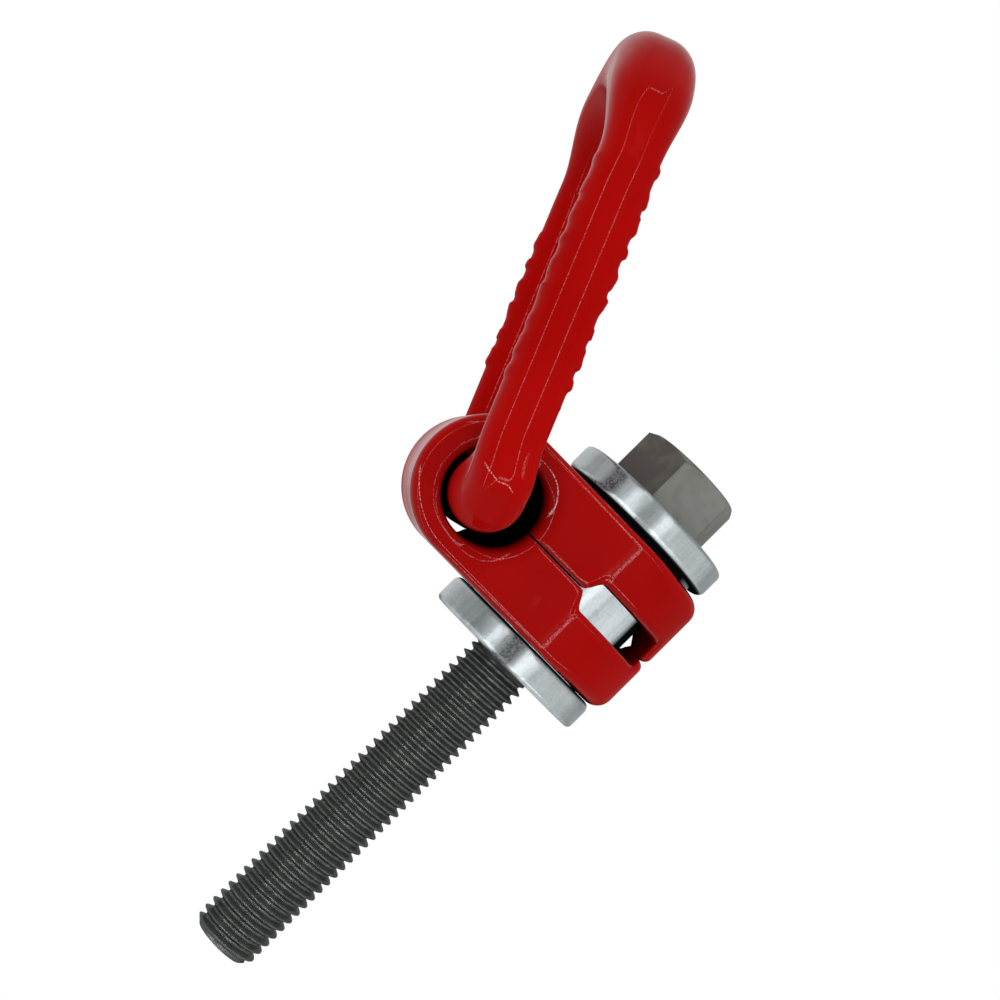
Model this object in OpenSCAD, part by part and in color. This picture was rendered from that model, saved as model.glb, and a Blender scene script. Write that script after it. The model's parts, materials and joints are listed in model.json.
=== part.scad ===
// Side-pull swivel hoist ring.
// Origin: bolt axis, on the underside of the lower flange. +Z runs up the bolt to its head.
// The eye of the swivel body lies towards -X, and the bail turns about an axis along Y.

/* [Bolt] */
// Thread diameter of the bolt
thread_d = 12; // [10:0.5:12]
// Thread pitch
thread_pitch = 1.75; // [1.25:0.25:1.75]
// Length of thread that stands out below the mounting face
thread_reach = 65; // [30:1:100]
// Width of the hexagon across its flats
hex_across_flats = 18; // [17:0.5:20]
// Height of the hexagon head
hex_height = 9; // [7:0.1:10]

/* [Bushing and washer] */
// Diameter of the lower flange and of the load washer
disc_d = 30.8; // [28:0.2:33]
// Thickness of the lower flange and of the load washer
disc_thick = 5.2; // [4:0.1:7]
// Radius that rounds the rims of both discs
disc_edge_r = 1.2; // [0.5:0.1:1.8]
// Diameter of the low step that keeps the washer off the body
step_d = 26; // [25:0.5:28]
// Height of that step
step_h = 0.9; // [0.4:0.1:1.2]
// Outside diameter of the sleeve that the body swivels on
sleeve_d = 24; // [22:0.5:24]

/* [Body] */
// Width of the folded strap along the eye
body_width = 34; // [33:0.5:35]
// Height of the folded strap, which is also the outside diameter of the eye
body_height = 24.3; // [22:0.1:26]
// Distance from the bolt axis to the centre of the eye
eye_offset = 23.2; // [22.5:0.1:26]
// Radius of the hole through the eye
eye_hole_r = 7.7; // [7.3:0.1:8.6]
// Radius that rounds the mouth of the eye
mouth_r = 2.7; // [1:0.1:2.9]
// Radius that rounds the long outer edges of the strap
strap_edge_r = 1.4; // [0.8:0.1:2]
// Height of the window beside the bolt
window_h = 5.8; // [4:0.1:8]
// Distance from the bolt axis to the narrow end of the window, towards the eye
window_start = 2.4; // [1.5:0.1:4]
// Distance from the bolt axis to the lips that close the free end
window_end = 13.7; // [13:0.1:14.5]
// Gap of the seam where the two legs of the strap meet
seam_gap = 0.3; // [0.2:0.05:0.6]
// How far the seam between the lips lies below the main seam
lip_seam_drop = 0.8; // [0:0.1:1.5]

/* [Bail] */
// Radius of the round cross bar that passes through the eye
bar_r = 6.1; // [5:0.1:6.4]
// Distance between the centres of the two legs
leg_spacing = 46; // [45:1:52]
// Thickness of the legs, square to the plane of the bail
leg_thick = 9.8; // [8:0.1:11]
// Width of the legs in the plane of the bail
leg_width = 9.6; // [8:0.1:10]
// Thickness of the crown, square to the plane of the bail
crown_thick = 13.6; // [10:0.1:14]
// Width of the crown in the plane of the bail
crown_width = 13; // [10:0.1:14]
// Distance from the cross bar's axis to the outside of the crown
bail_reach = 80.1; // [70:0.1:100]
// Radius that rounds the edges of the legs and the crown
bail_edge_r = 3.4; // [2:0.1:4.5]
// Lean of the bail away from the bolt, measured from upright
bail_lean = 23; // [0:0.2:60]

/* [Hidden] */
$fn = 72;

running_gap = 0.08;
face_gap = 0.05;
swivel_gap = 0.1;
overlap = 0.01;

thread_r = thread_d / 2;
thread_depth = 0.613 * thread_pitch;
crest_flat = thread_pitch / 8;
root_flat = thread_pitch / 4;
end_chamfer = 1.3;
thread_start = 2.2;
groove_count = floor((thread_reach - end_chamfer - thread_start) / thread_pitch);
neck_r = thread_r - 0.9;
shank_r = thread_r - 0.2;
neck_margin = 0.3;

disc_r = disc_d / 2;
step_r = step_d / 2;
sleeve_r = sleeve_d / 2;
bolt_bore_r = thread_r + running_gap;

body_bottom = disc_thick + swivel_gap;
body_middle = body_bottom + body_height / 2;
body_top = body_bottom + body_height;
washer_bottom = body_top + swivel_gap + step_h;
washer_top = washer_bottom + disc_thick;
body_r = body_width / 2;
eye_r = body_height / 2;
end_edge_r = 2.2;
swivel_bore_r = sleeve_r + running_gap;

ring_thick = 1.2;
ring_bottom = 2;
ring_inner_r = neck_r + running_gap;
ring_outer_r = thread_r + 1.5;
ring_gap = 2.5;

bar_x = -eye_offset;
bar_z = body_middle - 0.4;
leg_y = leg_spacing / 2;
crown_centre = bail_reach - leg_y - crown_width / 2;
corner_r = bar_r + 0.4;
crown_shift = 0.3;
taper_start = 16;
taper_end = 54;
taper_step = 0.1;

// Profile of one turned disc from its bore outwards, with its outer rim rounded on both edges.
module disc_profile(bore_r) {
    translate([bore_r, 0]) square([disc_r - disc_edge_r - bore_r, disc_thick]);
    translate([bore_r, disc_edge_r]) square([disc_r - bore_r, disc_thick - 2 * disc_edge_r]);
    for (z = [disc_edge_r, disc_thick - disc_edge_r]) {
        translate([disc_r - disc_edge_r, z]) circle(r = disc_edge_r);
    }
}

// Sleeve and lower flange in one turned piece, with an inner groove for the retaining ring.
module flanged_bushing() color([0.66, 0.70, 0.72]) rotate_extrude() {
    difference() {
        union() {
            disc_profile(bolt_bore_r);
            translate([bolt_bore_r, 0]) square([sleeve_r - bolt_bore_r, washer_bottom - face_gap]);
        }
        translate([bolt_bore_r - overlap, ring_bottom - face_gap])
            square([ring_outer_r + face_gap - bolt_bore_r + overlap, ring_thick + 2 * face_gap]);
    }
}

// Split ring that sits in the bushing's groove and in the neck of the bolt.
module retaining_ring() color([0.30, 0.31, 0.32]) translate([0, 0, ring_bottom]) {
    difference() {
        cylinder(r = ring_outer_r, h = ring_thick);
        translate([0, 0, -overlap]) cylinder(r = ring_inner_r, h = ring_thick + 2 * overlap);
        translate([0, -ring_gap / 2, -overlap]) cube([ring_outer_r * 2, ring_gap, ring_thick + 2 * overlap]);
    }
}

// Thick washer under the bolt head; its step faces the body and fits round the top of the sleeve.
module load_washer() color([0.66, 0.70, 0.72]) translate([0, 0, washer_bottom]) rotate_extrude() {
    step_bore_r = sleeve_r + running_gap;
    disc_profile(bolt_bore_r);
    translate([step_bore_r, -step_h]) square([step_r - step_bore_r, step_h + disc_thick / 2]);
}

// One thread groove of the half profile, cut as a ring; the crest flats carry the full diameter.
function groove(i) = let (z = -thread_start - i * thread_pitch) [
    [thread_r, z],
    [thread_r - thread_depth, z - (thread_pitch - crest_flat - root_flat) / 2],
    [thread_r - thread_depth, z - (thread_pitch - crest_flat + root_flat) / 2],
    [thread_r, z - thread_pitch + crest_flat]
];

// Half profile of the bolt's shank: plain in the bushing, a neck for the retaining ring, then the thread.
module shank_profile() {
    neck_top = ring_bottom + ring_thick + neck_margin;
    runout = thread_r - neck_r;
    polygon(concat(
        [[0, washer_top + 1], [shank_r, washer_top + 1], [shank_r, neck_top], [neck_r, neck_top]],
        [[neck_r, runout - thread_start + crest_flat], [thread_r, crest_flat - thread_start]],
        [for (i = [0 : groove_count - 1]) each groove(i)],
        [[thread_r, -thread_reach + end_chamfer], [thread_r - end_chamfer, -thread_reach], [0, -thread_reach]]
    ));
}

// Hexagon head whose top corners are turned off at 30 degrees.
module hex_head() {
    head_r = hex_across_flats / 2;
    corner = head_r / cos(30);
    drop = (corner - head_r * 0.97) * tan(30);
    intersection() {
        rotate([0, 0, 10.7]) cylinder(r = corner, h = hex_height, $fn = 6);
        rotate_extrude() polygon([
            [0, 0], [corner + 1, 0], [corner + 1, hex_height - drop - tan(30)],
            [head_r * 0.97, hex_height], [0, hex_height]
        ]);
    }
}

module hex_bolt() color([0.22, 0.23, 0.22]) {
    rotate_extrude() shank_profile();
    translate([0, 0, washer_top + face_gap]) hex_head();
}

// Outline across the strap, with its four long edges rounded.
module strap_section(edge_r) {
    half = body_width / 2;
    translate([-half + edge_r, 0]) square([body_width - 2 * edge_r, body_height]);
    translate([-half, edge_r]) square([body_width, body_height - 2 * edge_r]);
    for (y = [-half + edge_r, half - edge_r], z = [edge_r, body_height - edge_r]) {
        translate([y, z]) circle(r = edge_r);
    }
}

// Right half of the strap outline, for the round ends.
module end_section(radius, height, edge_r) {
    square([radius - edge_r, height]);
    translate([0, edge_r]) square([radius, height - 2 * edge_r]);
    for (z = [edge_r, height - edge_r]) translate([radius - edge_r, z]) circle(r = edge_r);
}

// Round end about the bolt.
module bolt_end() {
    translate([0, 0, body_bottom]) intersection() {
        rotate_extrude() end_section(body_r, body_height, end_edge_r);
        translate([0, -body_width, -1]) cube([body_width, 2 * body_width, body_height + 2]);
    }
}

// Round end about the cross bar of the bail.
module eye_end() {
    translate([-eye_offset, body_r, body_middle]) rotate([90, 0, 0]) intersection() {
        rotate_extrude() end_section(eye_r, body_width, strap_edge_r);
        translate([-body_height, -body_height, -1]) cube([body_height, 2 * body_height, body_width + 2]);
    }
}

module strap_middle() {
    translate([-eye_offset, 0, body_bottom]) rotate([90, 0, 90])
        linear_extrude(eye_offset) strap_section(strap_edge_r);
}

// Hole through the eye with both mouths flared.
module eye_hole() {
    translate([-eye_offset + 1, 0, body_middle]) rotate([90, 0, 0]) {
        translate([0, 0, -body_width]) cylinder(r = eye_hole_r, h = 2 * body_width);
        for (side = [0, 1]) mirror([0, 0, side]) translate([0, 0, body_r - mouth_r]) rotate_extrude() {
            difference() {
                square([eye_hole_r + mouth_r, mouth_r + 1]);
                translate([eye_hole_r + mouth_r, 0]) circle(r = mouth_r);
            }
        }
    }
}

// Window between the legs: it opens from the seam in a smooth step and ends at the lips.
function ease(t) = (1 - cos(180 * t)) / 2;

module window_outline() {
    steps = 10;
    opening = [for (i = [0 : steps]) let (t = i / steps)
        [-window_start * (1 - t), max(seam_gap, window_h * ease(t)) / 2]];
    lower = [for (i = [steps : -1 : 0]) [opening[i][0], -opening[i][1]]];
    polygon(concat(opening, [[window_end, window_h / 2], [window_end, -window_h / 2]], lower));
}

module window_and_seams() {
    reach = 2 * body_width;
    translate([0, body_width, body_middle]) rotate([90, 0, 0]) linear_extrude(reach) {
        window_outline();
        translate([-eye_offset + 2, -seam_gap / 2]) square([eye_offset - 2 - window_start / 2, seam_gap]);
        translate([window_end - 1, -lip_seam_drop - seam_gap / 2]) square([body_r, seam_gap]);
    }
}

// One forged strap folded round the cross bar of the bail.
module swivel_body() color([0.70, 0.05, 0.04]) difference() {
    union() {
        strap_middle();
        eye_end();
        bolt_end();
    }
    cylinder(r = swivel_bore_r, h = body_top + 1);
    eye_hole();
    window_and_seams();
}

// Section of a leg, centred, with rounded edges: x is the bail's thickness and y its width.
module bar_section(thick, width, edge_r) {
    square([thick - 2 * edge_r, width], center = true);
    square([thick, width - 2 * edge_r], center = true);
    for (x = [-1, 1], y = [-1, 1]) {
        translate([x * (thick / 2 - edge_r), y * (width / 2 - edge_r)]) circle(r = edge_r);
    }
}

// Half-round of one section, kept between two angles from the +Y side.
module crown_arc(thick, width, from, to) {
    reach = 2 * bail_reach;
    translate([0, 0, crown_centre]) rotate([90, 0, 90]) intersection() {
        rotate_extrude() translate([leg_y, 0]) rotate(90) bar_section(thick, width, bail_edge_r);
        translate([0, 0, -thick]) linear_extrude(2 * thick)
            polygon([[0, 0], for (a = [from, (from + to) / 2, to]) [reach * cos(a), reach * sin(a)]]);
    }
}

// Thin slice of the link at an angle of the half-round; share runs from the leg's size to the crown's.
module crown_slice(angle, share, grow) {
    thick = leg_thick + (crown_thick - leg_thick) * share + 2 * grow;
    width = leg_width + (crown_width - leg_width) * share + 2 * grow;
    translate([-crown_shift * share, 0, crown_centre]) rotate([angle, 0, 0]) translate([0, leg_y, 0])
        linear_extrude(overlap) bar_section(thick, width, bail_edge_r, $fn = 32);
}

// One leg and its growth into the crown; each slice is a step larger than the piece that runs into it.
module bail_leg() {
    half = (taper_start + taper_end) / 2;
    translate([0, leg_y, 0]) {
        sphere(r = corner_r);
        linear_extrude(crown_centre) bar_section(leg_thick, leg_width, bail_edge_r);
    }
    crown_arc(leg_thick, leg_width, 0, taper_start + 2);
    hull() {
        crown_slice(taper_start, 0, taper_step);
        crown_slice(half + 2, 0.5, 0);
    }
    hull() {
        crown_slice(half, 0.5, taper_step);
        crown_slice(taper_end + 2, 1, -taper_step);
    }
}

// Closed link: round cross bar, two legs, and a thicker half-round crown.
module lifting_bail() color([0.70, 0.05, 0.04]) translate([bar_x, 0, bar_z]) rotate([0, -bail_lean, 0]) {
    rotate([90, 0, 0]) translate([0, 0, -leg_y]) cylinder(r = bar_r, h = leg_spacing);
    for (side = [0, 1]) mirror([0, side, 0]) bail_leg();
    translate([-crown_shift, 0, 0]) crown_arc(crown_thick, crown_width, taper_end, 180 - taper_end);
}

flanged_bushing();
retaining_ring();
load_washer();
hex_bolt();
swivel_body();
lifting_bail();
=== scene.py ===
import json
import math

import bpy
import numpy as np
from mathutils import Matrix, Vector


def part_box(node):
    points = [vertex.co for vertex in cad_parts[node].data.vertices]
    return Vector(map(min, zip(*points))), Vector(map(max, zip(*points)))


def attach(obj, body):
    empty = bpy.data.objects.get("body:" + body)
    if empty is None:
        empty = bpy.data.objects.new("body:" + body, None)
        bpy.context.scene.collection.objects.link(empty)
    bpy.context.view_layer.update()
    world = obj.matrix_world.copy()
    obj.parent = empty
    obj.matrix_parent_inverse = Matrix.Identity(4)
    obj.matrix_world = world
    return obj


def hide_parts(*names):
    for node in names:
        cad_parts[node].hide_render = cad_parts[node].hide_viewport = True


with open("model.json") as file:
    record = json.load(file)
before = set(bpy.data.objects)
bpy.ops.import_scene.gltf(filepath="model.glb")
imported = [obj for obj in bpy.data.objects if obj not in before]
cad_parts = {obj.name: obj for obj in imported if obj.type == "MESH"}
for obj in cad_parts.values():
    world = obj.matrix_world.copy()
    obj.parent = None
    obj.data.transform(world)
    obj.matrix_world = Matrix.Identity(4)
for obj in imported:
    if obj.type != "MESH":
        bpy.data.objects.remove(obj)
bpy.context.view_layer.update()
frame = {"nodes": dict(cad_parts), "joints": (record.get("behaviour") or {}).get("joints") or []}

MM = 0.001


# -------------------------------------------------------- sizes in millimetres, and the frame's boxes

def box_mm(node):
    low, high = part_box(node)
    return np.array(low) / MM, np.array(high) / MM


body_low, body_high = box_mm("swivel_body")
_, flange_high = box_mm("flanged_bushing")
washer_low, washer_high = box_mm("load_washer")
bolt_low, bolt_high = box_mm("hex_bolt")
hinge = next(j for j in frame["joints"] if j["name"] == "bail_hinge")
HINGE_POINT = np.array(hinge["pos_m"]) / MM

STRAP_HALF = body_high[1]
EYE_R = (body_high[2] - body_low[2]) / 2
EYE_X = body_low[0] + EYE_R
MID_Z = (body_high[2] + body_low[2]) / 2
HOLE_X = EYE_X + 1.0
HOLE_R = 7.95
RUNNING_GAP = 0.08
SLEEVE_R = 12.0
SWIVEL_BORE_R = SLEEVE_R + RUNNING_GAP
THREAD_R = 6.0
BOLT_BORE_R = THREAD_R + RUNNING_GAP
DISC_R = flange_high[0]
DISC_THICK = 5.2
STEP_R = 13.0
STEP_H = 0.9


# -------------------------------------------------------- the photograph's camera

CAMERA_DISTANCE = 330.0
CAMERA_YAW = math.radians(5.2)
CAMERA_PITCH = math.radians(2.6)
CAMERA_ROLL = math.radians(45.4)
CAMERA_AIM = (19.33, 18.65)
LENS = 71.64
SENSOR = 36


def camera_axes():
    """Unit vectors: the way the camera looks, its level right-hand side, and its upright."""
    level = Vector((math.sin(CAMERA_YAW), math.cos(CAMERA_YAW), 0)) * math.cos(CAMERA_PITCH)
    look = level + Vector((0, 0, math.sin(CAMERA_PITCH)))
    side = Vector((math.cos(CAMERA_YAW), -math.sin(CAMERA_YAW), 0))
    return look, side, side.cross(look)


def make_camera():
    look, side, up = camera_axes()
    shift, height = CAMERA_AIM
    place = Vector((0, 0, height)) - side * shift - look * CAMERA_DISTANCE
    right = side * math.cos(CAMERA_ROLL) + up * math.sin(CAMERA_ROLL)
    above = up * math.cos(CAMERA_ROLL) - side * math.sin(CAMERA_ROLL)
    data = bpy.data.cameras.new("camera")
    data.lens = LENS
    data.sensor_width = SENSOR
    data.clip_start = 0.01
    camera = bpy.data.objects.new("camera", data)
    bpy.context.scene.collection.objects.link(camera)
    axes = Matrix((right, above, -look)).transposed().to_4x4()
    camera.matrix_world = Matrix.Translation(place * MM) @ axes
    bpy.context.scene.camera = camera


# -------------------------------------------------------- mesh tools

def ramp(value, low, high):
    """0 at or below low, 1 at or above high, and smooth in between."""
    share = np.clip((value - low) / (high - low), 0.0, 1.0)
    return share * share * (3 - 2 * share)


def rounded_both(a, b, radius):
    """Where both fields are negative, with the shared outer edge rounded."""
    corner = np.hypot(np.maximum(a + radius, 0), np.maximum(b + radius, 0))
    return np.minimum(np.maximum(a, b), -radius) + corner


def soft_max(a, b, width):
    """The larger of two values, blended where they are close."""
    near = np.maximum(width - np.abs(a - b), 0) / width
    return np.maximum(a, b) + near * near * width / 4


def graded(low, high, step, zones=()):
    """Grid lines from low to high at a step, and closer inside the zones (start, end, step)."""
    lines = [low]
    while lines[-1] < high:
        here = lines[-1]
        near = [fine for start, end, fine in zones if start - fine <= here < end]
        lines.append(here + min([step] + near))
    return np.array(lines)


def field_normals(field, points, reach=0.02):
    """Gradient of the field at the points, by central differences."""
    gradient = np.empty_like(points)
    for axis in range(3):
        shift = np.zeros(3)
        shift[axis] = reach
        ahead, behind = (points + shift).T, (points - shift).T
        gradient[:, axis] = (field(*ahead) - field(*behind)) / (2 * reach)
    return gradient


def crossing_points(value, inside, lines):
    """One point for each grid cell that the surface passes through, and which point each cell holds."""
    shape = tuple(n - 1 for n in value.shape)
    total = np.zeros(shape + (3,))
    count = np.zeros(shape)
    corners = [(i, j, k) for i in (0, 1) for j in (0, 1) for k in (0, 1)]
    part = {c: tuple(slice(o, o + n) for o, n in zip(c, shape)) for c in corners}
    for start in corners:
        for axis in range(3):
            if start[axis]:
                continue
            end = tuple(1 if a == axis else o for a, o in enumerate(start))
            va, vb = value[part[start]], value[part[end]]
            crossed = inside[part[start]] != inside[part[end]]
            cells = np.nonzero(crossed)
            share = va[cells] / (va[cells] - vb[cells])
            for a in range(3):
                low = lines[a][cells[a] + start[a]]
                high = lines[a][cells[a] + end[a]]
                total[cells + (np.full(len(share), a),)] += low + (high - low) * share
            count[cells] += 1
    used = count > 0
    index = np.full(shape, -1)
    index[used] = np.arange(used.sum())
    return total[used] / count[used][:, None], index


def crossing_quads(inside, index):
    """One quad round each grid edge that the surface passes through, facing outwards."""
    quads = []
    for axis in range(3):
        b, c = (axis + 1) % 3, (axis + 2) % 3
        head = [slice(1, -1)] * 3
        head[axis] = slice(0, -1)
        tail = list(head)
        tail[axis] = slice(1, None)
        first, second = inside[tuple(head)], inside[tuple(tail)]
        for state in (True, False):
            cells = np.array(np.nonzero((first == state) & (second != state)))
            cells[b] += 1
            cells[c] += 1
            around = []
            for db, dc in ((-1, -1), (0, -1), (0, 0), (-1, 0)):
                at = cells.copy()
                at[b] += db
                at[c] += dc
                around.append(index[tuple(at)])
            ring = np.array(around).T
            quads.append(ring if state else ring[:, ::-1])
    return np.concatenate(quads)


def surface_net(field, xs, ys, zs):
    """Points and quads of the closed surface where the field changes sign on a rectangular grid."""
    value = field(*np.meshgrid(xs, ys, zs, indexing="ij"))
    inside = value < 0
    points, index = crossing_points(value, inside, (xs, ys, zs))
    return points, crossing_quads(inside, index)


def settle(field, points, rounds=4, most=0.25):
    """Moves the points along the gradient onto the field's zero surface."""
    for _ in range(rounds):
        slope = field_normals(field, points)
        steep = np.maximum((slope ** 2).sum(1), 0.05)
        step = field(*points.T)[:, None] * slope / steep[:, None]
        length = np.linalg.norm(step, axis=1, keepdims=True)
        points = points - step * np.minimum(1, most / np.maximum(length, 1e-9))
    return points


def new_object(name, points, faces, matrix=None):
    """A mesh object from points in millimetres."""
    mesh = bpy.data.meshes.new(name)
    points = np.asarray(points, float)
    mesh.from_pydata((points * MM).tolist(), [], [list(map(int, f)) for f in faces])
    if matrix is not None:
        mesh.transform(matrix)
    mesh.validate()
    mesh.update()
    mesh.shade_smooth()
    piece = bpy.data.objects.new(name, mesh)
    bpy.context.scene.collection.objects.link(piece)
    return piece


def set_shade(piece, values):
    """Stores how far each point lies in the dark, for the materials to read."""
    layer = piece.data.attributes.new("shade", "FLOAT", "POINT")
    layer.data.foreach_set("value", np.asarray(values, np.float32))


def carved(name, field, xs, ys, zs, shade, matrix=None):
    """A smooth closed piece from a field, with its normals taken from the field."""
    points, quads = surface_net(field, xs, ys, zs)
    points = settle(field, points)
    normals = field_normals(field, points)
    normals /= np.maximum(np.linalg.norm(normals, axis=1, keepdims=True), 1e-9)
    piece = new_object(name, points, quads, matrix)
    if matrix is not None:
        normals = normals @ np.array(matrix.to_3x3()).T
    piece.data.normals_split_custom_set_from_vertices(normals.tolist())
    set_shade(piece, shade(*points.T))
    return piece


def turned(name, outline, segments, radius_at=None, closed=True, sharp_deg=40):
    """Turns an outline of (radius, z) about Z. An open outline starts and ends on the axis."""
    outline = np.asarray(outline, float)
    angle = np.linspace(0, 2 * math.pi, segments, endpoint=False)
    body = outline if closed else outline[1:-1]
    radius = np.repeat(body[:, :1], segments, axis=1)
    height = np.repeat(body[:, 1:], segments, axis=1)
    if radius_at is not None:
        radius = radius_at(radius, height, angle[None, :])
    points = np.stack([radius * np.cos(angle), radius * np.sin(angle), height], axis=2).reshape(-1, 3)
    rows = len(body)
    row = np.arange(rows if closed else rows - 1)[:, None] * segments
    col = np.arange(segments)[None, :]
    after = (col + 1) % segments
    up = (row + segments) % (rows * segments)
    faces = np.stack([row + col, row + after, up + after, up + col], axis=2).reshape(-1, 4).tolist()
    if not closed:
        low, high = len(points), len(points) + 1
        points = np.concatenate([points, [[0, 0, outline[0][1]], [0, 0, outline[-1][1]]]])
        last = (rows - 1) * segments
        for i in range(segments):
            j = (i + 1) % segments
            faces.append([low, j, i])
            faces.append([high, last + i, last + j])
    piece = new_object(name, points, faces)
    piece.data.set_sharp_from_angle(angle=math.radians(sharp_deg))
    return piece


def arc(cx, cz, radius, start_deg, end_deg, steps=8):
    """Points along an arc in the (radius, z) plane."""
    turns = np.radians(np.linspace(start_deg, end_deg, steps + 1))
    return [(cx + radius * math.cos(t), cz + radius * math.sin(t)) for t in turns]


# -------------------------------------------------------- material tools

class Nodes:
    """Short way to build a node tree."""

    def __init__(self, tree):
        self.tree = tree
        tree.nodes.clear()

    def add(self, kind, inputs=None, **settings):
        node = self.tree.nodes.new(kind)
        for key, value in settings.items():
            setattr(node, key, value)
        for key, value in (inputs or {}).items():
            self.feed(node, key, value)
        return node

    def feed(self, node, key, value):
        if isinstance(value, bpy.types.NodeSocket):
            self.tree.links.new(value, node.inputs[key])
        else:
            node.inputs[key].default_value = value

    def math(self, operation, a, b=0.0):
        return self.add("ShaderNodeMath", {0: a, 1: b}, operation=operation).outputs[0]

    def plus(self, first, *others):
        for value in others:
            first = self.math("ADD", first, value)
        return first

    def times(self, first, *others):
        for value in others:
            first = self.math("MULTIPLY", first, value)
        return first

    def larger(self, a, b):
        return self.math("MAXIMUM", a, b)

    def apart(self, a, b):
        return self.math("ABSOLUTE", self.math("SUBTRACT", a, b))

    def dot(self, a, b):
        return self.add("ShaderNodeVectorMath", {0: a, 1: b}, operation="DOT_PRODUCT").outputs["Value"]

    def scaled(self, vector, factor):
        node = self.add("ShaderNodeVectorMath", {0: vector, "Scale": factor}, operation="SCALE")
        return node.outputs[0]

    def noise(self, vector, scale, detail=3.0, rough=0.5):
        inputs = {"Vector": vector, "Scale": scale, "Detail": detail, "Roughness": rough}
        return self.add("ShaderNodeTexNoise", inputs).outputs["Fac"]

    def stretched(self, vector, scale):
        return self.add("ShaderNodeMapping", {"Vector": vector, "Scale": scale}).outputs[0]

    def span(self, value, a, b, low=0.0, high=1.0):
        """Maps a to low and b to high, and holds the result between them."""
        inputs = {"Value": value, "From Min": a, "From Max": b, "To Min": low, "To Max": high}
        return self.add("ShaderNodeMapRange", inputs).outputs[0]

    def strip(self, value, centre, half, strength):
        """A band where the value is close to the centre."""
        return self.span(self.apart(value, centre), half * 0.5, half, strength, 0.0)

    def colours(self, value, stops):
        node = self.add("ShaderNodeValToRGB", {"Fac": value})
        elements = node.color_ramp.elements
        while len(elements) < len(stops):
            elements.new(0.5)
        for element, (place, colour) in zip(elements, stops):
            element.position = place
            element.color = (*colour, 1.0)
        return node.outputs["Color"]

    def mixed(self, share, a, b):
        return self.add("ShaderNodeMix", {0: share, 2: a, 3: b}).outputs[0]

    def darkened(self, colour, shade, dark):
        """The colour where the shade is 0, and the dark one where it is 1."""
        inputs = {"Factor": shade, 6: colour, 7: (*dark, 1.0)}
        return self.add("ShaderNodeMix", inputs, data_type="RGBA").outputs[2]

    def bump(self, height, distance, normal=None):
        """The normal of a rough surface, with its distance in metres, on top of a normal made before."""
        inputs = {"Height": height, "Distance": distance}
        if normal is not None:
            inputs["Normal"] = normal
        return self.add("ShaderNodeBump", inputs).outputs["Normal"]

    def place(self):
        """Where the point lies on the object, in metres."""
        return self.add("ShaderNodeTexCoord").outputs["Object"]

    def stored_shade(self):
        """What set_shade stored on the piece."""
        return self.add("ShaderNodeAttribute", attribute_name="shade").outputs["Fac"]

    def facing_right(self):
        """How far the surface faces the right-hand side of the photograph's camera, from -1 to 1."""
        return self.dot(self.add("ShaderNodeNewGeometry").outputs["Normal"], camera_axes()[1])


def material(name):
    made = bpy.data.materials.new(name)
    made.use_nodes = True
    return made, Nodes(made.node_tree)


def finish_surface(nodes, inputs):
    shader = nodes.add("ShaderNodeBsdfPrincipled", inputs)
    nodes.add("ShaderNodeOutputMaterial", {"Surface": shader.outputs[0]})


# -------------------------------------------------------- studio: strip lamps, world and floor

UPWARDS = Vector((0, 0, 1))
AT_FRONT = (0.3, 0.6)

# Level strip lamps: (height, strength, strength of the painted highlight strokes they give on paint).
# Upright ones: their turn.
LEVEL_STRIPS = ((-0.42, 10.0, 0.17), (0.52, 0.6, 0.05))
UPRIGHT_STRIPS = (0.408, 0.546)

# Brightness round the horizon: 0 and 1 lie behind the object, 0.5 lies behind the camera.
HORIZON = (
    (0.0, 0.80), (0.12, 0.75), (0.20, 0.45), (0.30, 0.40), (0.32, 0.26), (0.365, 0.22), (0.385, 0.26),
    (0.41, 0.50), (0.45, 0.36), (0.50, 0.32), (0.55, 0.62), (0.64, 0.60), (0.74, 0.80), (0.80, 0.60),
    (0.88, 0.33), (1.0, 0.80),
)
SKY_LEVEL = 0.30
GROUND_LEVEL = 0.75
FLOOR_R = 1500
FLOOR_GAP = 8


def ray_angles(nodes, ray):
    """How far a ray points to the camera, its turn about the upright from 0 to 1, and its height."""
    look, side, _ = camera_axes()
    front = nodes.dot(ray, -look)
    azimuth = nodes.math("ARCTAN2", nodes.dot(ray, side), front)
    return front, nodes.span(azimuth, -math.pi, math.pi), nodes.dot(ray, UPWARDS)


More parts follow.
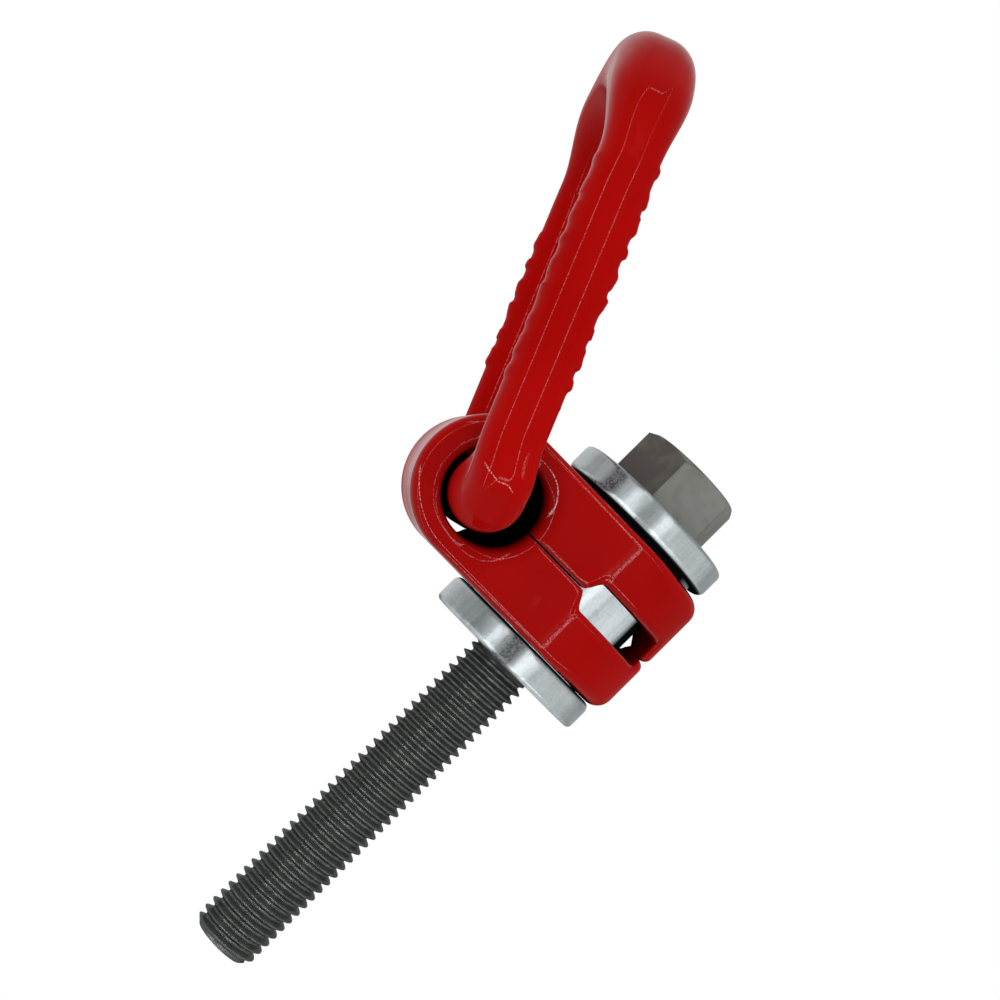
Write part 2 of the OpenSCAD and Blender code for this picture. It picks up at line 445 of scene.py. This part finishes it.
def make_world():
    world = bpy.data.worlds.new("studio")
    bpy.context.scene.world = world
    world.use_nodes = True
    nodes = Nodes(world.node_tree)
    front, turn, height = ray_angles(nodes, nodes.add("ShaderNodeTexCoord").outputs["Generated"])

    greys = nodes.colours(turn, [(place, (level, level, level)) for place, level in HORIZON])
    level = nodes.add("ShaderNodeRGBToBW", {0: greys}).outputs[0]
    level = nodes.mixed(nodes.span(height, 0.4, 0.8), level, SKY_LEVEL)
    level = nodes.mixed(nodes.span(height, -0.2, -0.5), level, GROUND_LEVEL)
    low_behind = nodes.times(nodes.span(front, -0.75, -0.95), nodes.span(height, -0.03, -0.12))
    level = nodes.times(level, nodes.span(low_behind, 0.0, 1.0, 1.0, 0.12))

    at_front = nodes.span(front, *AT_FRONT)
    for centre, strength, _ in LEVEL_STRIPS:
        level = nodes.plus(level, nodes.times(at_front, nodes.strip(height, centre, 0.02, strength)))
    for centre in UPRIGHT_STRIPS:
        level = nodes.plus(level, nodes.strip(turn, centre, 0.0035, 11.0))

    soft = nodes.times(nodes.span(height, -1.0, 1.0, 1.1, 0.85), nodes.span(front, -1.0, 1.0, 0.7, 1.25))
    path = nodes.add("ShaderNodeLightPath")
    seen = nodes.mixed(path.outputs["Is Glossy Ray"], soft, level)
    seen = nodes.mixed(path.outputs["Is Camera Ray"], seen, 1.0)
    shader = nodes.add("ShaderNodeBackground", {"Color": (1, 1, 1, 1), "Strength": seen})
    nodes.add("ShaderNodeOutputWorld", {"Surface": shader.outputs[0]})


def make_floor():
    """A wide pale disc just under the bolt."""
    angles = np.linspace(0, 2 * math.pi, 65)[:-1]
    ring = [(FLOOR_R * math.cos(a), FLOOR_R * math.sin(a), bolt_low[2] - FLOOR_GAP) for a in angles]
    floor = new_object("floor", ring, [list(range(len(ring)))])
    made, nodes = material("floor_white")
    path = nodes.add("ShaderNodeLightPath")
    white = nodes.add("ShaderNodeEmission", {"Color": (1, 1, 1, 1), "Strength": 1.0})
    matte = nodes.add("ShaderNodeBsdfDiffuse", {"Color": (0.8, 0.8, 0.8, 1)})
    inputs = {0: path.outputs["Is Camera Ray"], 1: matte.outputs[0], 2: white.outputs[0]}
    mixed = nodes.add("ShaderNodeMixShader", inputs)
    nodes.add("ShaderNodeOutputMaterial", {"Surface": mixed.outputs[0]})
    floor.data.materials.append(made)
    floor.visible_glossy = False


# -------------------------------------------------------- materials

SHADOW_RED = (0.0012, 0.0008, 0.0008)
SHADOW_ZINC = (0.006, 0.010, 0.011)

# Where the look of the paint changes, in metres: between two heights, and between two depths. The strokes
# are painted highlights, and the fall in tone is painted shade on the crown.
LEVEL_STROKES_END = (0.045, 0.060)
UPRIGHT_STROKES_END = (0.062, 0.074)
GLOSS_RISE = (0.058, 0.076)
RIGHT_GLOSS_RISE = (0.066, 0.082)
CROWN_SHADE_RISE = (0.060, 0.085)
FAR_SIDE = (-0.013, 0.013)


def painted_lamp_highlights(nodes, up):
    """Painted highlights: thin bright strokes that glow where the paint would mirror the strip lamps,
    fading out up the bail.
    """
    front, turn, height = ray_angles(nodes, nodes.add("ShaderNodeTexCoord").outputs["Reflection"])
    level = nodes.plus(*[nodes.strip(height, centre, 0.05, stroke) for centre, _, stroke in LEVEL_STRIPS])
    level = nodes.times(level, nodes.span(front, *AT_FRONT), nodes.span(up, *LEVEL_STROKES_END, 1.0, 0.0))
    upright = nodes.plus(*[nodes.strip(turn, centre, 0.007, 0.05) for centre in UPRIGHT_STRIPS])
    return nodes.plus(level, nodes.times(upright, nodes.span(up, *UPRIGHT_STROKES_END, 1.0, 0.0)))


def paint_gloss(nodes, depth, height, low_gloss):
    """Weight of the clear coat: most at grazing angles, less to the right, low down and far back."""
    edge = nodes.add("ShaderNodeLayerWeight", {"Blend": 0.5}).outputs["Facing"]
    leftwards = nodes.span(nodes.facing_right(), 0.15, 0.6, 1.0, 0.3)
    sideways = nodes.larger(leftwards, nodes.span(height, *RIGHT_GLOSS_RISE, 0.0, 0.85))
    gloss = nodes.times(nodes.span(edge, 0.15, 0.7, 0.12, 0.6), sideways)
    gloss = nodes.times(gloss, nodes.span(height, *GLOSS_RISE, low_gloss, 1.0))
    return nodes.times(gloss, nodes.span(depth, *FAR_SIDE, 1.0, 0.35))


def red_paint(name, tone, low_gloss):
    """Glossy paint with painted shade and painted highlight strokes; tone scales how bright the red is,
    low_gloss how shiny it is below the crown.
    """
    made, nodes = material(name)
    place = nodes.place()
    split = nodes.add("ShaderNodeSeparateXYZ", {0: place}).outputs
    depth, height = split["Y"], split["Z"]

    reds = [(0.3, (0.40 * tone, 0.0022, 0.0016)), (0.7, (0.46 * tone, 0.0034, 0.0024))]
    colour = nodes.colours(nodes.noise(place, 60.0, 2.0), reds)
    shade = nodes.stored_shade()
    colour = nodes.darkened(colour, shade, SHADOW_RED)
    # Painted shade: the crown is painted darker towards its top.
    colour = nodes.scaled(colour, nodes.span(height, *CROWN_SHADE_RISE, 1.0, 0.84))

    waves = nodes.bump(nodes.noise(place, 90.0, 1.0), 0.0002)
    peel = nodes.bump(nodes.noise(place, 420.0, 1.5), 0.000016, waves)
    normal = nodes.bump(nodes.noise(place, 3000.0, 1.0), 0.000004, peel)

    lit = nodes.span(shade, 0.0, 0.15, 1.0, 0.0)
    # Painted highlights: the paint glows in thin dotted strokes, but not where painted shade lies.
    dots = nodes.span(nodes.noise(place, 3600.0, 1.0), 0.40, 0.60, 0.0, 1.8)
    finish_surface(nodes, {
        "Base Color": colour, "Roughness": 0.5, "Normal": normal, "Specular IOR Level": 0.0,
        "Emission Color": (1, 1, 1, 1),
        "Emission Strength": nodes.times(painted_lamp_highlights(nodes, height), dots, lit),
        "Coat Weight": nodes.times(paint_gloss(nodes, depth, height, low_gloss), lit),
        "Coat Roughness": 0.03, "Coat Normal": normal,
    })
    return made


def zinc_plate(name, painted_dark_reflections):
    """Bright plating with painted shade, painted light on the sleeve and painted dark reflections on the
    rims; each painted dark reflection on a disc's rim is (the way it faces, half width, strength).
    """
    made, nodes = material(name)
    place = nodes.place()
    streaks = nodes.noise(nodes.stretched(place, (1.0, 1.0, 0.06)), 800.0, 3.0, 0.6)
    mottle = nodes.noise(place, 2600.0, 2.0)
    blotch = nodes.noise(place, 170.0, 3.0, 0.6)
    tone = nodes.plus(nodes.times(blotch, 0.35), nodes.times(mottle, 0.25), nodes.times(streaks, 0.4))
    colour = nodes.colours(tone, [(0.38, (0.46, 0.51, 0.52)), (0.6, (0.68, 0.73, 0.75))])

    right = nodes.facing_right()
    stored = nodes.stored_shade()
    sleeve = nodes.span(stored, 0.0, -1.0)
    # Painted light: the sleeve is painted brighter where it faces right.
    sleeve_painted_light = nodes.times(sleeve, nodes.span(right, 0.0, 0.4, 0.0, 0.4))
    colour = nodes.scaled(colour, nodes.plus(sleeve_painted_light, 1.0))

    # Painted shade: dark edges by the body, fading on faces turned furthest right, and a dark band along
    # the sleeve where it faces furthest right.
    shade = nodes.times(nodes.span(stored, 0.0, 1.0), nodes.span(right, 0.8, 0.95, 1.0, 0.25))
    shade = nodes.larger(shade, nodes.times(sleeve, nodes.span(right, 0.80, 0.88)))
    # Painted dark reflections on the rims, broken up by the mottle.
    rim = nodes.times(nodes.span(sleeve, 0.0, 1.0, 1.0, 0.0), nodes.span(mottle, 0.4, 0.6, 0.7, 1.05))
    for centre, half, strength in painted_dark_reflections:
        dark_reflection = nodes.span(nodes.apart(right, centre), half * 0.4, half, strength, 0.0)
        shade = nodes.larger(shade, nodes.times(rim, dark_reflection))

    finish_surface(nodes, {
        "Base Color": nodes.darkened(colour, shade, SHADOW_ZINC),
        "Metallic": nodes.span(shade, 0.0, 1.0, 1.0, 0.0),
        "Roughness": nodes.span(streaks, 0.3, 0.7, 0.27, 0.40),
        "Specular IOR Level": nodes.span(shade, 0.0, 1.0, 0.5, 0.0),
        "Normal": nodes.bump(streaks, 0.000012),
    })
    return made


def black_oxide():
    made, nodes = material("black_oxide")
    place = nodes.place()
    greys = [(0.3, (0.102, 0.112, 0.106)), (0.7, (0.158, 0.168, 0.160))]
    colour = nodes.colours(nodes.noise(place, 500.0), greys)
    finish_surface(nodes, {
        "Base Color": colour, "Metallic": 0.7, "Roughness": 0.36, "Specular Tint": (0.3, 0.3, 0.3, 1),
        "Normal": nodes.bump(nodes.noise(place, 2500.0), 0.000001),
    })
    return made


def painted_shade_steel():
    """Grey steel with painted shade: its left-hand faces are painted browner and darker."""
    made, nodes = material("painted_shade_steel")
    place = nodes.place()
    right = nodes.facing_right()
    # Painted shade by the way a face turns: darker and browner to the left, a little darker furthest right.
    painted_face_shade = nodes.plus(nodes.span(right, -0.6, 0.2, -0.3, 0.25), nodes.span(right, 0.4, 0.9, 0.0, -0.12))
    tone = nodes.plus(nodes.noise(place, 300.0, 4.0), painted_face_shade)
    colour = nodes.colours(tone, [(0.2, (0.105, 0.095, 0.082)), (0.8, (0.23, 0.235, 0.21))])
    finish_surface(nodes, {
        "Base Color": colour, "Metallic": 0.3, "Roughness": 0.55,
        "Normal": nodes.bump(nodes.noise(place, 2200.0), 0.00003),
    })
    return made


def dark_spring():
    made, nodes = material("dark_spring")
    tone = nodes.noise(nodes.place(), 700.0)
    colour = nodes.colours(tone, [(0.3, (0.05, 0.05, 0.05)), (0.7, (0.09, 0.09, 0.09))])
    rough = nodes.span(tone, 0.3, 0.7, 0.3, 0.45)
    finish_surface(nodes, {"Base Color": colour, "Metallic": 0.8, "Roughness": rough})
    return made


# -------------------------------------------------------- swivel body: one strap folded round the eye

WINDOW_HALF = 2.87
WINDOW_START = -1.9
WINDOW_TAPER = 2.6
WINDOW_END = 14.4
WINDOW_CORNER_R = 0.8
BACK_LONGER = 0.1
BACK_POINT = 0.5
SEAM_HALF = 0.15
SEAM_TILT = 0.02
SEAM_END = 1.0
SLIT_OVERLAP = 1.5
LIP_DROP = 0.8
BACK_GROOVE = 1.2
LONG_EDGE_R = 1.4
END_TOP_R = 2.8
END_LOW_R = 3.0
EYE_EDGE_EXTRA = 0.6
MOUTH_R = 1.5
MOUTH_EXTRA = 2.1
PINCH = 1.2
CUT_EDGE_R = 0.8
CUT_EDGE_EXTRA = 0.5


def side_plane(x, y):
    """Distance outwards from the body's outline seen from above."""
    return np.where(x < 0, np.abs(y), np.hypot(x, y)) - STRAP_HALF


def window_field(x, y, z):
    """Negative inside the window, the seam and the slit between the lips.

    On the far side the window's end comes to a point and the slit is only a groove.
    """
    turn = math.pi * np.clip((x - WINDOW_START) / WINDOW_TAPER, 0, 1)
    opening = WINDOW_HALF * (1 - np.cos(turn)) / 2
    slope = WINDOW_HALF * math.pi / 2 * np.sin(turn) / WINDOW_TAPER
    legs = (np.abs(z) - opening) / np.sqrt(1 + slope ** 2)
    end = WINDOW_END + (BACK_LONGER - BACK_POINT * np.abs(z)) * ramp(y, -4, 4)
    window = rounded_both(legs, x - end, WINDOW_CORNER_R)
    seam_z = z + SEAM_TILT * (y + STRAP_HALF)
    seam = np.maximum(np.abs(seam_z) - SEAM_HALF, x - SEAM_END)
    groove = np.where(y > 0, -BACK_GROOVE - side_plane(x, y), -1.0)
    lips = np.maximum(WINDOW_END - SLIT_OVERLAP - x, groove)
    slit = np.maximum(np.abs(seam_z + LIP_DROP) - SEAM_HALF, lips)
    return np.maximum(np.minimum.reduce([window, seam, slit]), HOLE_X - x)


def body_field(x, y, z):
    """Negative inside the body: the strap, less the eye's hole, the cuts and the swivel bore."""
    z = z - MID_Z
    profile = np.where(x < EYE_X, np.hypot(x - EYE_X, z), np.abs(z)) - EYE_R
    plan = side_plane(x, y)
    end_r = np.where(z > 0, END_TOP_R, END_LOW_R)
    edge_r = LONG_EDGE_R + (end_r - LONG_EDGE_R) * ramp(x, 2, 12) + EYE_EDGE_EXTRA * ramp(-x, 20, 30)
    outer = rounded_both(profile, plan, edge_r)
    mouth_r = MOUTH_R + MOUTH_EXTRA * ramp(x - HOLE_X, -2, 8)
    from_hole = np.hypot(x - HOLE_X, z)
    pinch = PINCH * ramp((x - HOLE_X) / np.maximum(from_hole, 1), 0.27, 0.45) * ramp(-plan, 2.5, 8)
    hole = rounded_both(plan, HOLE_R - pinch - from_hole, mouth_r)
    cut_edge_r = CUT_EDGE_R + CUT_EDGE_EXTRA * ramp(x, -3, -0.5)
    cuts = rounded_both(plan, -window_field(x, y, z), cut_edge_r)
    bore = SWIVEL_BORE_R - np.hypot(x, y)
    return np.maximum.reduce([outer, hole, cuts, bore])


def body_shade(x, y, z):
    """Painted shade: the hole, the seam, the window and the bore are painted dark inside, the window's end
    wall lightly near the front and darker further back, and the faces by the discs are painted dark too.
    """
    z = z - MID_Z
    depth = -side_plane(x, y)
    from_hole = np.hypot(x - HOLE_X, z)
    towards_bolt = ramp((x - HOLE_X) / np.maximum(from_hole, 1), -0.4, 0.5)
    in_hole = (from_hole < HOLE_R + 2.5) * ramp(depth, 0.45, 1.0 + 1.6 * towards_bolt)
    at_end = ramp(x, 10.5, 13.0)
    end_wall = 0.16 * ramp(depth, 0.0, 0.5) + 0.84 * ramp(y, -2, 7)
    in_cut = (window_field(x, y, z) < 0.12) * (end_wall * at_end + ramp(depth, 0.5, 2.2) * (1 - at_end))
    from_bolt = np.hypot(x, y)
    in_bore = from_bolt < SWIVEL_BORE_R + 0.3
    facing_disc = (from_bolt < DISC_R + 0.4) * (np.abs(z) > EYE_R - 0.4)
    return np.maximum.reduce([in_hole, in_cut, in_bore, facing_disc])


def make_body():
    """The grid is closer at the window's two ends, at both side faces, along the seam and in the window."""
    xs = graded(body_low[0] - 1, body_high[0] + 1, 0.5, [(-3.2, 0.6, 0.2), (12.9, 15, 0.2)])
    ys = graded(-STRAP_HALF - 1, STRAP_HALF + 1, 0.5, [(-17.3, -15.6, 0.25), (15.6, 17.3, 0.25)])
    zs = graded(-EYE_R - 1, EYE_R + 1, 0.5, [(-2.0, 0.9, 0.1), (-4.4, 4.4, 0.25)]) + MID_Z
    piece = carved("swivel_body_forging", body_field, xs, ys, zs, body_shade)
    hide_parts("swivel_body")
    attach(piece, "body")
    return piece


# -------------------------------------------------------- lifting bail: closed forged link
# Its front is the side towards the bolt.

BAR_R = 6.1
BAR_SWELL = 0.4
BEVEL = 3.8
LEG_OFF = 23.0
LEG_HALF_T = 4.9
LEG_HALF_W = 4.8
LEG_CORNER_R = 4.2
LEG_END_HALF_T = 5.1
LEG_END_HALF_W = 5.2
LEG_END_SHIFT = 0.7
CROWN_CENTRE = 50.6
CROWN_HALF_T = 6.8
CROWN_HALF_W = 6.5
CROWN_FRONT_R = 5.7
CROWN_BACK_R = 5.5
CROWN_SHIFT = 0.3
LEAN = math.radians(23.0)
MARK_H = 0.55
MARK_PITCH = 4.4
BACK_MARK_SHIFT = 1.3


def bail_path(across, up):
    """Distance outwards from the link's centreline, whose lower corners are bevelled."""
    side, below = np.abs(across) - LEG_OFF, -up
    low = soft_max(soft_max(side, below, 1.0), (side + below + BEVEL) / math.sqrt(2), 1.6)
    return np.where(up < CROWN_CENTRE, low, np.hypot(across, up - CROWN_CENTRE) - LEG_OFF)


def marks(up, start, end):
    """A row of low soft marks along a leg between two heights."""
    inside = ramp(up, start, start + 2) * (1 - ramp(up, end - 2, end))
    wave = 0.5 - 0.5 * np.cos(2 * math.pi * (up + 0.5 * np.sin(up * 0.9)) / MARK_PITCH)
    return inside * (0.8 + 0.2 * np.sin(up * 1.7)) * ramp(wave, 0.1, 0.75)


def raised_marks(off, across, up):
    """Height of the marks as a share: a row on the front of both legs and one on the back of each."""
    front = marks(up, 15.5, 57) * (off > 0)
    back_up = up + BACK_MARK_SHIFT
    near_back = marks(back_up, 17, 57) * (off < 0) * (across < 0)
    far_back = marks(back_up, 21, 49) * (off < 0) * (across > 0)
    return front + 0.5 * near_back + 0.85 * far_back


def bail_field(off, across, up):
    """Negative inside the link.

    off is square to the link's plane, across runs along the cross bar, and up runs from it to the crown.
    """
    aside = np.abs(across)
    path = bail_path(across, up)
    leg = ramp(up, 1.0, 10.0)
    crown = ramp(up, 56.0, 69.5)
    outer = ramp(aside, 18.0, 22.0)
    off = off + CROWN_SHIFT * crown - LEG_END_SHIFT * ramp(aside, 18.5, 21.5) * (1 - leg)

    bar_r = BAR_R + BAR_SWELL * (1 - ramp(aside, 12.0, 15.5))
    end_w = bar_r + (LEG_END_HALF_W - BAR_R) * outer
    half_w = end_w + (LEG_HALF_W - end_w) * leg + (CROWN_HALF_W - LEG_HALF_W) * crown
    end_t = bar_r + (LEG_END_HALF_T - BAR_R) * outer
    half_t = end_t + (LEG_HALF_T - end_t) * leg + (CROWN_HALF_T - LEG_HALF_T) * crown

    crown_r = np.where(off > 0, CROWN_FRONT_R, CROWN_BACK_R)
    square = np.maximum(ramp(up, 1.0, 8.0), outer)
    corner_r = bar_r + (LEG_CORNER_R - bar_r) * square + (crown_r - LEG_CORNER_R) * crown
    corner_r = np.minimum(corner_r, half_t)

    middle = 1 - ramp(np.abs(path), 1.5, 4.2)
    half_t = half_t + MARK_H * middle * raised_marks(off, across, up)
    beside, above = np.abs(path) - (half_w - corner_r), np.abs(off) - (half_t - corner_r)
    outside = np.hypot(np.maximum(beside, 0), np.maximum(above, 0))
    return outside + np.minimum(np.maximum(beside, above), 0) - corner_r


def bail_shade(off, across, up):
    """Painted shade: the cross bar is painted dark where it lies inside the eye."""
    return (1 - ramp(np.abs(across), 14.0, 21.0)) * (1 - ramp(up, 4.0, 10.0))


def make_bail():
    matrix = Matrix.Translation(Vector(HINGE_POINT * MM)) @ Matrix.Rotation(-LEAN, 4, "Y")
    reach = LEG_OFF + CROWN_HALF_W + 1
    off_lines = graded(-8, 8, 0.45)
    across_lines = graded(-reach, reach, 0.5)
    up_lines = graded(-BAR_R - 1, CROWN_CENTRE + reach, 0.45)
    lines = (off_lines, across_lines, up_lines)
    piece = carved("lifting_bail_forging", bail_field, *lines, bail_shade, matrix)
    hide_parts("lifting_bail")
    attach(piece, "bail")
    return piece


# -------------------------------------------------------- turned parts: bushing, washer and bolt

OUTER_EDGE_R = 0.9
BODY_EDGE_R = 1.3
# How far the painted shade reaches in from a disc's face next to the body.
PAINTED_SHADE_EDGE = 0.45
STEP_CHAMFER = 0.15
SLEEVE_CHAMFER = 0.2

PITCH = 1.75
THREAD_DEPTH = 0.613 * PITCH
THREAD_PHASE = 0.09
THREAD_TOP = 0.4
ROWS_PER_TURN = 14
END_CHAMFER = 1.3
CHAMFER_ROWS = 8
NECK_R = 5.5
GROOVE_R = 5.1
SHANK_R = 5.8
HEX_FLATS = 18.0
HEX_TURN = math.radians(10.7)
HEX_CHAMFER = math.radians(30)
HEX_CHAMFER_ROWS = 24


def disc_outline(bore, low, high, edge_low, edge_high):
    """Rim of a disc from its lower bore edge outwards and back to the end of its upper rounded edge."""
    points = [(bore, low)]
    points += arc(DISC_R - edge_low, low + edge_low, edge_low, -90, 0)
    points += [(DISC_R, low + edge_low + 0.2), (DISC_R, high - edge_high - 0.2)]
    points += arc(DISC_R - edge_high, high - edge_high, edge_high, 0, 90)
    return points


def shade_disc(piece, edge_z, side):
    """Paints shade on the half of a disc beyond a height, towards the body, and marks the sleeve with -1.
    """
    place = np.empty(len(piece.data.vertices) * 3)
    piece.data.vertices.foreach_get("co", place)
    place = place.reshape(-1, 3) / MM
    beyond = ramp((place[:, 2] - edge_z) * side, -0.1, 0.1)
    on_disc = np.hypot(place[:, 0], place[:, 1]) > SLEEVE_R + 0.3
    set_shade(piece, np.where(on_disc, beyond, -beyond))


def make_bushing():
    top = flange_high[2]
    outline = disc_outline(BOLT_BORE_R, 0.0, DISC_THICK, OUTER_EDGE_R, BODY_EDGE_R)
    outline += [(SLEEVE_R, DISC_THICK), (SLEEVE_R, top - SLEEVE_CHAMFER)]
    outline += [(SLEEVE_R - SLEEVE_CHAMFER, top), (BOLT_BORE_R, top)]
    piece = turned("flanged_bushing_turned", outline, 192)
    shade_disc(piece, DISC_THICK - PAINTED_SHADE_EDGE, 1)
    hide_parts("flanged_bushing")
    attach(piece, "bushing_group")
    return piece


def make_washer():
    low, high = washer_low[2] + STEP_H, washer_high[2]
    step_low = low - STEP_H
    outline = [(BOLT_BORE_R, low), (SWIVEL_BORE_R, low), (SWIVEL_BORE_R, step_low)]
    outline += [(STEP_R - STEP_CHAMFER, step_low), (STEP_R, step_low + STEP_CHAMFER), (STEP_R, low)]
    outline += disc_outline(BOLT_BORE_R, low, high, BODY_EDGE_R, OUTER_EDGE_R)[1:] + [(BOLT_BORE_R, high)]
    piece = turned("load_washer_turned", outline, 192)
    shade_disc(piece, low + PAINTED_SHADE_EDGE, -1)
    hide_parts("load_washer")
    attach(piece, "washer")
    return piece


def thread_radius(radius, z, angle):
    """Right-hand thread cut into the outline, where the outline is outside the root."""
    phase = (z / PITCH - angle / (2 * math.pi) + THREAD_PHASE) % 1.0
    height = np.abs(phase - 0.5) * 2
    cut = THREAD_R - THREAD_DEPTH * (1 - np.clip((height - 0.25) / 0.62, 0, 1))
    fade = ramp(z, -0.6, 0.2)
    return np.minimum(radius, cut + fade * THREAD_DEPTH)


def shank_outline():
    """From the end of the thread up past the neck and the ring's groove into the washer."""
    bottom, top = bolt_low[2], washer_high[2] + 1
    step = PITCH / ROWS_PER_TURN
    tip_r = THREAD_R - END_CHAMFER
    outline = [(0, bottom), (2.0, bottom), (tip_r - 0.1, bottom)]
    for i in range(CHAMFER_ROWS):
        rise = END_CHAMFER * i / CHAMFER_ROWS
        outline.append((tip_r + rise, bottom + rise))
    for i in range(int((THREAD_TOP - bottom - END_CHAMFER) / step) + 1):
        z = bottom + END_CHAMFER + i * step
        outline.append((NECK_R + (THREAD_R - NECK_R) * float(ramp(-z, 0.2, 1.5)), z))
    return outline + [(GROOVE_R, 0.5), (GROOVE_R, 3.5), (SHANK_R, 3.6), (SHANK_R, top), (0, top)]


def make_shank():
    piece = turned("hex_bolt_shank", shank_outline(), 96, thread_radius, closed=False, sharp_deg=50)
    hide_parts("hex_bolt")
    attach(piece, "bolt")
    return piece


def hex_radius(radius, z, angle):
    """Holds the outline inside the hexagon."""
    sector = math.pi / 3
    off = (angle - HEX_TURN + sector / 2) % sector - sector / 2
    flat = HEX_FLATS / 2 / np.cos(np.abs(off) - sector / 2)
    return np.minimum(radius, flat)


def head_outline():
    """From the washer out to the hexagon's corners, up and in along the chamfer, and over the top."""
    low, high = washer_high[2] + 0.05, bolt_high[2]
    top_r = HEX_FLATS / 2 * 0.97
    corner_r = HEX_FLATS / 2 / math.cos(math.pi / 6) + 0.2
    edge_z = high - (corner_r - top_r) * math.tan(HEX_CHAMFER)
    outline = [(0, low), (4, low), (8.6, low), (corner_r, low), (corner_r, low + 0.05)]
    for i in range(HEX_CHAMFER_ROWS + 1):
        share = i / HEX_CHAMFER_ROWS
        outline.append((corner_r + (top_r - corner_r) * share, edge_z + (high - edge_z) * share))
    return outline + [(top_r - 0.3, high), (4, high), (0, high)]


def make_head():
    piece = turned("hex_bolt_head", head_outline(), 180, hex_radius, closed=False, sharp_deg=25)
    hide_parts("hex_bolt")
    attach(piece, "bolt")
    return piece


# -------------------------------------------------------- build

# The body's red is painted a little darker than the bail's, as painted shade.
body_paint = red_paint("body_paint", 0.90, 1.0)
bail_paint = red_paint("bail_paint", 0.99, 0.5)
for piece, paint in ((make_body(), body_paint), (make_bail(), bail_paint)):
    piece.data.materials.append(paint)
    piece.visible_glossy = False
# Each disc's rim gets painted dark reflections: (the way they face, half width, strength).
bushing_zinc = zinc_plate("bushing_zinc", ((-0.08, 0.14, 0.80), (-0.42, 0.08, 0.15)))
washer_zinc = zinc_plate("washer_zinc", ((-0.56, 0.13, 0.85), (-0.04, 0.12, 0.50), (-0.82, 0.06, 0.20)))
make_bushing().data.materials.append(bushing_zinc)
make_washer().data.materials.append(washer_zinc)
make_shank().data.materials.append(black_oxide())
make_head().data.materials.append(painted_shade_steel())
ring = frame["nodes"]["retaining_ring"]
ring.data.materials.clear()
ring.data.materials.append(dark_spring())

make_floor()
make_world()
make_camera()
bpy.context.scene.view_settings.view_transform = "Standard"
